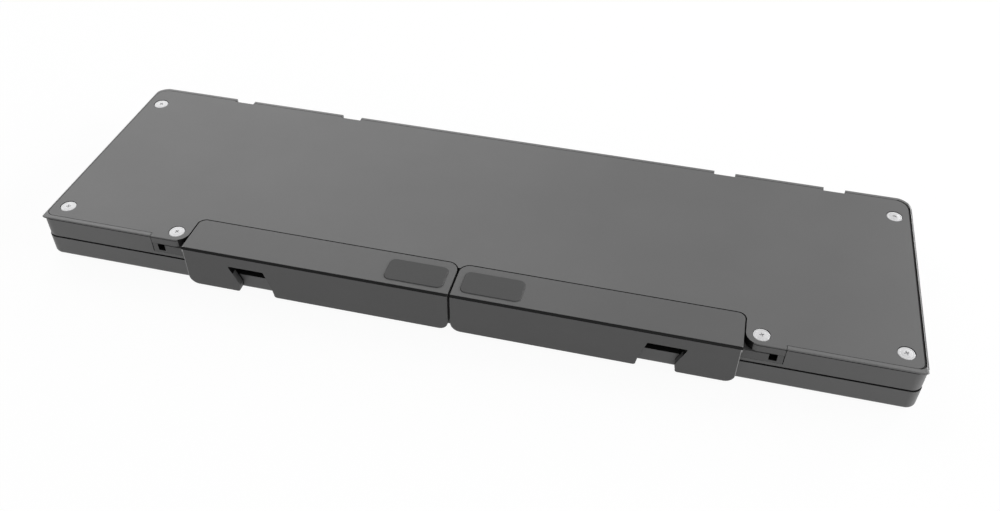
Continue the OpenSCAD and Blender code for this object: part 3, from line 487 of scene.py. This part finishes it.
# Charging socket
# A shell drawn from steel sheet, set in the right end of the far half. In it stands
# a black plastic tongue that carries the gilt contacts.
socket_edge = 0.00008
socket_steel = drawn_steel("socket_steel", shade=0.72, rough=0.3, stretch=(40.0, 2.0, 2.0))
finished(softened("charging_socket", socket_edge), "socket_shell", socket_steel, "far_half",
         "socket", "charging_socket")
tongue_black = grained("tongue_black", shade=0.09, rough=0.4, grain=2400.0, depth=0.08)
contact_gilt = grained("contact_gilt", shade=0.72, rough=0.28, grain=1200.0, metal=1.0)
gilt_tones = ((0.62, 0.434, 0.1984, 1), (0.7, 0.49, 0.224, 1))
gilt = contact_gilt.node_tree.nodes["Color Ramp"].color_ramp.elements
for stop, tone in zip(gilt, gilt_tones):
    stop.color = tone
tongue_low = Vector((0.1184, -0.0169, 0.0106))
tongue_high = Vector((0.1241, -0.0124, 0.0113))
contact_count = 6
contact_share = 0.55
contact_thick = 0.00004
shape = bmesh.new()
boxes = [(tongue_low, tongue_high, 0)]
pitch = (tongue_high.y - tongue_low.y) / (contact_count + 1)
for i in range(contact_count):
    middle = tongue_low.y + pitch * (i + 1)
    reach = pitch * contact_share / 2
    box_low = Vector((tongue_low.x, middle - reach, tongue_high.z - contact_thick))
    box_high = Vector((tongue_high.x - reach, middle + reach, tongue_high.z + contact_thick))
    boxes.append((box_low, box_high, 1))
for box_low, box_high, paint_index in boxes:
    made = bmesh.ops.create_cube(shape, size=1)["verts"]
    bmesh.ops.scale(shape, verts=made, vec=box_high - box_low)
    bmesh.ops.translate(shape, verts=made, vec=(box_low + box_high) / 2)
    for f in {f for v in made for f in v.link_faces}:
        f.material_index = paint_index
finished(shape, "socket_tongue", [tongue_black, contact_gilt], "far_half", "socket")

# Power switch
# A small slide switch in the left end of the far half. Its body is black plastic, and
# the slider, of a lighter plastic, comes out through a slot in the shell.
switch_edge = 0.00012
switch_plastic = grained("switch_plastic", shade=0.13, rough=0.45, grain=2200.0, depth=0.1)
finished(softened("power_switch_body", switch_edge), "switch_body", switch_plastic, "far_half",
         "switch", "power_switch_body")
slider_plastic = grained("slider_plastic", shade=0.22, rough=0.5, grain=2600.0, depth=0.12)
finished(softened("power_slider", switch_edge), "switch_slider", slider_plastic,
         "power_slider_body", "switch", "power_slider")

# Status light
# A small milky light guide of clear plastic. It is moulded, and pressed into its hole
# in the far key frame.
lens_edge = 0.0001
lens_clearness = 0.6
lens_plastic = grained("lens_plastic", shade=0.82, rough=0.28, grain=1500.0, depth=0.06)
lens_body = lens_plastic.node_tree.nodes["Principled BSDF"]
lens_body.inputs["Transmission Weight"].default_value = lens_clearness
finished(softened("status_light", lens_edge), "light_guide", lens_plastic, "far_half", "lens",
         "status_light")

# Magnets
# Nickel-plated discs that hold the halves shut, with the fine pits of the plating.
# They lie in cups of the shells, under the key frames.
magnet_edge = 0.0002
nickel = grained("nickel", shade=0.74, rough=0.24, grain=1800.0, depth=0.12, metal=1.0)
for half in ("near", "far"):
    finished(softened(half + "_magnets", magnet_edge, steps=3), half + "_magnet_discs", nickel,
             half + "_half", "magnet", half + "_magnets")

# Hinges
# Knuckles of blackened steel stand on both halves, turn and turn about. Bright drawn
# steel pins, pressed into the near half's knuckles, run through them.
knuckle_edge = 0.00008
pin_edge = 0.0001
knuckle_steel = drawn_steel("knuckle_steel", shade=0.3, rough=0.42, stretch=(2.0, 30.0, 30.0))
pin_steel = drawn_steel("pin_steel", shade=0.7, rough=0.26, stretch=(80.0, 3.0, 3.0))
for half in ("near", "far"):
    finished(softened(half + "_hinge_knuckles", knuckle_edge), half + "_knuckles", knuckle_steel,
             half + "_half", "hinge", half + "_hinge_knuckles")
finished(softened("hinge_pins", pin_edge), "pins", pin_steel, "near_half", "hinge", "hinge_pins")

# Bottom covers
# Flat covers of aluminium with a fine matt grey anodised finish. Their side faces in the
# gap round the cover and toward the arms carry a near-black painted shade. Each lies in a
# rim of its shell with a narrow gap all round, and screws hold it. The far cover's ears
# carry on the painted shade line of the groove that runs under the shell's rim.
cover_grey = 0.415
cover_metal = grained("cover_metal", shade=cover_grey, rough=0.5, grain=3400.0, metal=0.1)
# Painted shade: near-black for the cover's edges in the gap and for the groove band.
cover_painted_shade = grained("cover_painted_shade", shade=0.03, rough=0.6, grain=1800.0, sheen=0.15)
cover_edge = 0.00006
ear_reach = 0.0075
ear_turn = 0.45
edge_lean = 0.97
line_top = 0.0004
line_low = 0.0006


def parted(shape, place, across):
    """Cuts new edges into a mesh along a plane, and leaves its form as it is."""
    bmesh.ops.bisect_plane(shape, geom=shape.verts[:] + shape.edges[:] + shape.faces[:],
                           plane_co=place, plane_no=across)


for half in ("near", "far"):
    shape = softened(half + "_cover", cover_edge)
    front = min(v.co.y for v in shape.verts)
    outer = max(v.co.z for v in shape.verts)
    if half == "far":
        for deep in (line_top, line_low):
            parted(shape, (0, 0, outer - deep), (0, 0, 1))
    for f in shape.faces:
        middle = f.calc_center_median()
        inner = -f.normal.x * math.copysign(1, middle.x) > ear_turn
        lined = half == "far" and line_top < outer - middle.z < line_low
        # Painted shade on side faces in the gap, on faces toward the arms and in the groove band.
        if abs(f.normal.z) < edge_lean and (middle.y > front + ear_reach or inner or lined):
            f.material_index = 1
    finished(shape, half + "_bottom", [cover_metal, cover_painted_shade], half + "_half", "cover",
             half + "_cover")

# Screws
# Plated steel screws with a low rounded head, a fine ring round its cross recess and a
# threaded shank. They hold the covers and the arm pivots.
head_radius = 0.0023
head_height = 0.0006
cross_length = 0.0018
cross_width = 0.00046
cross_depth = 0.00032
shank_radius = 0.00098
shank_end = 0.00455
thread_pitch = 0.00045
thread_depth = 0.00018
tip_share = 0.5
lathe_steps = 48
cross_foot_length_share = 0.55
cross_foot_width_share = 0.7
smudge_scale = 900.0
smudge_detail = 4.0
smudge_turns = (0.9, 1.08)
smudge_gloss = 0.06
smudge_depth = 0.08
smudge_height = 0.00005
screw_cast = 1.01
first_turn = 0.35
turn_step = 0.8
head_shares = [(0, 0), (0.64, -0.01), (0.7, -0.1), (0.76, -0.03), (0.9, -0.1), (0.98, -0.28),
               (1, -0.55), (1, -1)]


def steel_finish(name, shade, rough):
    """Turned steel with smudges in its colour, its gloss and its fine bumps."""
    paint, tree, body, where = new_finish(name)
    smudge = noise(tree, where, smudge_scale, smudge_detail).outputs["Fac"]
    levels = [min(1.0, srgb(shade) * turn) for turn in smudge_turns]
    tones = [(level, level, level * screw_cast) for level in levels]
    tinted(tree, body, smudge, tones, 0.0, 1.0)
    glossed(tree, body, smudge, rough, smudge_gloss)
    embossed(tree, body, smudge, smudge_depth, smudge_height)
    body.inputs["Metallic"].default_value = 1.0
    return paint


def screw_head():
    """A screw turned about Z with its top at zero: a low head with a fine ring, a cross
    recess and a shank with the ridges of its thread."""
    shape = bmesh.new()
    line = [(r * head_radius, z * head_height) for r, z in head_shares]
    line.append((shank_radius, -head_height))
    turns = int((shank_end - head_height) / thread_pitch)
    for i in range(turns):
        crest = head_height + (i + 0.5) * thread_pitch
        line.append((shank_radius - thread_depth, thread_pitch / 2 - crest))
        line.append((shank_radius, -crest))
    line += [(shank_radius * tip_share, -shank_end), (0, -shank_end)]
    points = [shape.verts.new((r, 0, z)) for r, z in line]
    edges = [shape.edges.new(pair) for pair in zip(points, points[1:])]
    bmesh.ops.spin(shape, geom=points + edges, cent=(0, 0, 0), axis=(0, 0, 1),
                   angle=2 * math.pi, steps=lathe_steps, use_merge=True)
    bmesh.ops.remove_doubles(shape, verts=shape.verts, dist=weld)
    bmesh.ops.recalc_face_normals(shape, faces=shape.faces)
    head = bpy.data.meshes.new("head_blank")
    shape.to_mesh(head)
    shape.free()
    cutter = bmesh.new()
    for turn in (0, math.pi / 2):
        made = bmesh.ops.create_cube(cutter, size=1)["verts"]
        for v in made:
            lower = v.co.z < 0
            v.co.x *= cross_length * (cross_foot_length_share if lower else 1)
            v.co.y *= cross_width * (cross_foot_width_share if lower else 1)
            v.co.z = -cross_depth if lower else cross_depth
        bmesh.ops.rotate(cutter, verts=made, matrix=Matrix.Rotation(turn, 3, "Z"))
    cross = bpy.data.meshes.new("cross_tool")
    cutter.to_mesh(cross)
    cutter.free()
    blank = bpy.data.objects.new("head_blank", head)
    tool = bpy.data.objects.new("cross_tool", cross)
    for o in (blank, tool):
        bpy.context.scene.collection.objects.link(o)
    cut = blank.modifiers.new("cross", "BOOLEAN")
    cut.operation = "DIFFERENCE"
    cut.object = tool
    cut.solver = "EXACT"
    cut.use_self = True
    bpy.context.view_layer.update()
    made = bpy.data.meshes.new_from_object(blank.evaluated_get(
        bpy.context.evaluated_depsgraph_get()))
    for o in (blank, tool):
        bpy.data.objects.remove(o)
    return made


def parts_of(shape):
    """The places of the vertices of each loose part of a mesh, in the mesh's own order."""
    parts, seen = [], set()
    for start in shape.verts:
        if start in seen:
            continue
        seen.add(start)
        heap, part = [start], []
        while heap:
            v = heap.pop()
            part.append(v.co.copy())
            for other in [e.other_vert(v) for e in v.link_edges]:
                if other not in seen:
                    seen.add(other)
                    heap.append(other)
        parts.append(part)
    return parts


screw_steel = steel_finish("screw_steel", shade=0.74, rough=0.62)
head_mesh = screw_head()
screw_sets = {
    "near_cover_screws": ("near_half", -1),
    "far_cover_screws": ("far_half", 1),
    "arm_pivot_screws": ("far_half", 1),
}
for node, (body, up) in screw_sets.items():
    shape = bmesh.new()
    shape.from_mesh(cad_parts[node].data)
    bmesh.ops.remove_doubles(shape, verts=shape.verts, dist=weld)
    blanks = parts_of(shape)
    shape.free()
    heads = bmesh.new()
    for i, blank in enumerate(blanks):
        x = (min(c.x for c in blank) + max(c.x for c in blank)) / 2
        y = (min(c.y for c in blank) + max(c.y for c in blank)) / 2
        z = max(c.z for c in blank) if up > 0 else min(c.z for c in blank)
        copy = head_mesh.copy()
        flip = Matrix.Rotation(0 if up > 0 else math.pi, 4, "X")
        turn = Matrix.Rotation(first_turn + turn_step * i, 4, "Z")
        copy.transform(Matrix.Translation((x, y, z)) @ flip @ turn)
        heads.from_mesh(copy)
        bpy.data.meshes.remove(copy)
    finished(heads, node + "_heads", screw_steel, body, "screw", node)

# Arms
# Two angle arms of matt grey anodised aluminium that swing out at the pivots. Each has
# a flange in the cover's recess and a front wall with a slot for a tablet's edge.
# Near-black painted shade covers the fold's rounding, where it stands for a dark
# reflection, and the hidden edges, the slot sides and the small window.
arm_grey = 0.379
arm_edge = 0.0001
arm_shade_level = 0.04
window_inner = 0.0856
window_outer = 0.0879
fold_reach = 0.0008
fold_lean = 0.2
back_lean = 0.25
slot_inner = 0.05
slot_outer = 0.068
slot_dark = 0.0026
slot_turn = 0.5
slot_skin = 0.001
slot_ceiling = 0.0122
slot_reach = 0.004
window_turn = 0.9
slot_inside = 0.00185
arm_metal = grained("arm_metal", shade=arm_grey, rough=0.5, grain=3400.0, metal=0.1)
# Painted shade: near-black for the fold (a painted dark reflection), hidden edges, slot sides,
# back faces and the window.
arm_painted_shade = grained("arm_painted_shade", shade=arm_shade_level, rough=0.5, sheen=0.15)
# Painted highlight: a lighter band at each wall's outer end stands in for light caught by the
# edge.
arm_painted_highlight = grained("arm_painted_highlight", shade=0.66, rough=0.4, grain=2800.0, depth=0.08, metal=0.4)
highlight_width = 0.0004
for side in ("left", "right"):
    shape = softened(side + "_arm", arm_edge)
    front = min(v.co.y for v in shape.verts)
    roof = max(v.co.z for v in shape.verts if slot_inner < abs(v.co.x) < slot_outer
               and v.co.y < front + slot_skin and v.co.z < slot_ceiling)
    parted(shape, (0, 0, roof - slot_dark), (0, 0, 1))
    end = max(abs(v.co.x) for v in shape.verts if v.co.y < front + fold_reach)
    outward = -1 if side == "left" else 1
    parted(shape, (outward * (end - highlight_width), 0, 0), (1, 0, 0))
    parted(shape, (0, front + slot_inside, 0), (0, 1, 0))
    for f in shape.faces:
        middle = f.calc_center_median()
        fold = (middle.y < front + fold_reach and f.normal.y < -fold_lean
                and f.normal.z > fold_lean)
        window = window_inner < abs(middle.x) < window_outer and f.normal.y > -window_turn
        hidden = roof - slot_dark < middle.z or middle.y > front + slot_inside
        slot = (slot_inner < abs(middle.x) < slot_outer and middle.z < roof and hidden
                and abs(f.normal.x) > slot_turn and middle.y < front + slot_reach)
        # Painted shade on the fold, window, slot sides and back faces.
        if fold or window or slot or f.normal.y > back_lean:
            f.material_index = 1
        # Painted highlight on the outer end of the wall.
        elif abs(middle.x) > end - highlight_width and middle.y < front + fold_reach:
            f.material_index = 2
    finished(shape, side + "_angle_arm", [arm_metal, arm_painted_shade, arm_painted_highlight],
             side + "_arm_body", "arm", side + "_arm")

# Arm bearings
# Each arm swings on a turned brass bush, between two washers of hard pale plastic.
# The pivot screw holds them together.
bush_edge = 0.0001
washer_edge = 0.00005
bush_brass = drawn_steel("bush_brass", shade=0.6, rough=0.3, stretch=(3.0, 3.0, 90.0))
washer_plastic = grained("washer_plastic", shade=0.7, rough=0.4, grain=2000.0, depth=0.1)
finished(softened("pivot_bushes", bush_edge), "bushes", bush_brass, "far_half", "bush",
         "pivot_bushes")
finished(softened("friction_washers", washer_edge), "washers", washer_plastic, "far_half", "bush",
         "friction_washers")

# Arm pads
# Pads of soft dark grey rubber that keep a tablet from slipping. Each is moulded, and
# glued in a recess of its arm's flange.
pad_grey = 0.341
pad_edge = 0.00022
pad_rubber = grained("pad_rubber", shade=pad_grey, rough=0.7, grain=1800.0, depth=0.1, sheen=0.25)
for side in ("left", "right"):
    finished(softened(side + "_arm_pad", pad_edge, steps=3), side + "_pad", pad_rubber,
             side + "_arm_body", "rubber", side + "_arm_pad")

# Feet and bumpers
# Four feet under the near half and four small bumpers between the halves, moulded in
# dark rubber and glued in shallow seats.
foot_edge = 0.0002
bumper_edge = 0.00015
foot_rubber = grained("foot_rubber", shade=0.16, rough=0.75, grain=1500.0, depth=0.12, sheen=0.25)
finished(softened("near_feet", foot_edge, steps=3), "rubber_feet", foot_rubber,
         "near_half", "rubber", "near_feet")
finished(softened("near_bumpers", bumper_edge), "rubber_bumpers", foot_rubber, "near_half",
         "rubber", "near_bumpers")

# Size
# The box round all the pieces that are shown, without the table.
low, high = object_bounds()
